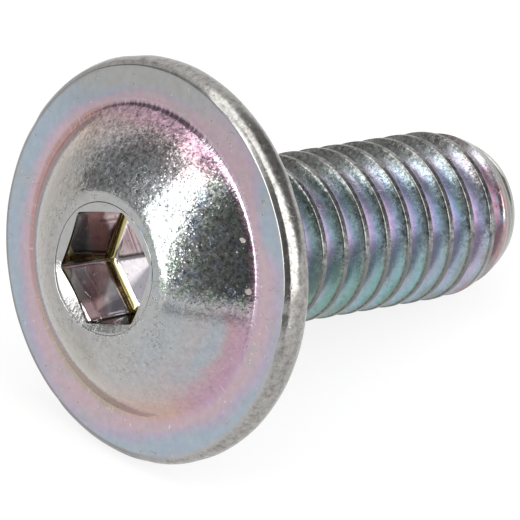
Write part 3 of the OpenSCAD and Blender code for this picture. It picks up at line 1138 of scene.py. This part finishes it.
def way(azimuth, elevation):
    """A direction from the screw, with the azimuth counted from the front to the right."""
    a = math.radians(azimuth)
    e = math.radians(elevation)
    return Vector((math.sin(a) * math.cos(e), -math.cos(a) * math.cos(e), math.sin(e)))


def add_lamp(name, width, length, radiance):
    lamp = bpy.data.lights.new(name, "AREA")
    lamp.shape = "RECTANGLE"
    lamp.size = width
    lamp.size_y = length
    lamp.energy = radiance * math.pi * width * length
    box = bpy.data.objects.new(name, lamp)
    scene.collection.objects.link(box)
    box.rotation_mode = "QUATERNION"
    box.visible_camera = False
    return box


def softbox(name, azimuth, width, low, high, radiance):
    """A standing lamp; its width and the heights of its two ends are angles seen from the screw."""
    bottom = STUDIO_R * math.tan(math.radians(low))
    top = STUDIO_R * math.tan(math.radians(high))
    box = add_lamp(name, 2 * STUDIO_R * math.tan(math.radians(width / 2)), top - bottom, radiance)
    box.location = way(azimuth, 0) * STUDIO_R + Vector((0, 0, (bottom + top) / 2))
    box.rotation_quaternion = (-way(azimuth, 0)).to_track_quat("-Z", "Y")


softbox("left_softbox", azimuth=-99, width=27, low=5, high=67, radiance=3.2)
softbox("front_softbox", azimuth=8, width=50, low=1, high=64, radiance=3)
OVERHEAD_SIZE = 2 * STUDIO_R * math.tan(math.radians(25))
overhead = add_lamp("overhead", OVERHEAD_SIZE, OVERHEAD_SIZE, radiance=1.7)
overhead.location = (0, 0, STUDIO_R)
print("three lamps,", STUDIO_R, "m from the screw")

# %% [markdown]
# ## Dark cards
# Between the lamps the dome is dark and not white, so dark cards stand round the screw, as a
# photographer sets them up to draw the edges of shiny things. Each card is a strip of a sphere with
# its own grey. Only reflections see the cards: they throw no shadow and the camera looks through
# them. A narrow strip on the table draws the thin dark line low on the dome.

# %% One dark card
CARD_STEPS = 12
CARD_DISTANCE = 0.9 * STUDIO_R
FELT_GREY = 0.02


def dark_card(name, azimuths, elevations, grey):
    """A curved card round the screw that only reflections see."""
    columns = np.linspace(azimuths[0], azimuths[1], CARD_STEPS)
    points = [way(a, e) * CARD_DISTANCE for e in elevations for a in columns]
    card_mesh = bpy.data.meshes.new(name)
    fields = [(i, i + 1, CARD_STEPS + i + 1, CARD_STEPS + i) for i in range(CARD_STEPS - 1)]
    card_mesh.from_pydata(points, [], fields)
    card = bpy.data.objects.new(name, card_mesh)
    scene.collection.objects.link(card)
    felt, felt_shader = matt(name, FELT_GREY)
    felt_shader.inputs["Emission Strength"].default_value = grey
    card_mesh.materials.append(felt)
    card.visible_camera = False
    card.visible_shadow = False
    card.visible_diffuse = False
    return card


print("cards stand", CARD_DISTANCE, "m from the screw")

# %% Dark cards
# A card is a name, its azimuths, its elevations and its grey
CARDS = (
    ("card_gap", (-121, -68), (65, 72), 0.25),
    ("card_left_far", (-164, -152), (6, 48), 0.34),
    ("card_left_mid", (-152, -140), (4, 58), 0.28),
    ("card_left", (-140, -130), (4, 57), 0.36),
    ("card_left_near", (-130, -118), (4, 61), 0.5),
    ("card_front_near", (-85, -76), (3, 52), 0.42),
    ("card_front", (-76, -68), (3, 52), 0.34),
    ("card_front_far", (-68, -54), (3, 72), 0.2),
    ("card_camera", (-54, -19), (3, 64), 0.13),
    ("card_right", (37, 106), (0, 62), 0.22),
    ("card_back", (160, 196), (2, 40), 0.8),
)
for name, azimuths, elevations, grey in CARDS:
    dark_card(name, azimuths, elevations, grey)
print(len(CARDS), "dark cards")

# %% Strip on the table
STRIP_NEAR = 0.034
STRIP_FAR = 0.06
STRIP_LIFT = Vector((0, 0, 0.0001))
strip = dark_card("table_strip", (-86, -40), (0, 0), 0.4)
for number, vertex in enumerate(strip.data.vertices):
    reach = STRIP_NEAR if number < CARD_STEPS else STRIP_FAR
    vertex.co = vertex.co.normalized() * reach + STRIP_LIFT
print("strip on the table from", STRIP_NEAR, "to", STRIP_FAR, "m")

# %% [markdown]
# ## Look settings
# The plain view transform shows a colour as it was written.

# %% Look settings
scene.view_settings.view_transform = "Standard"
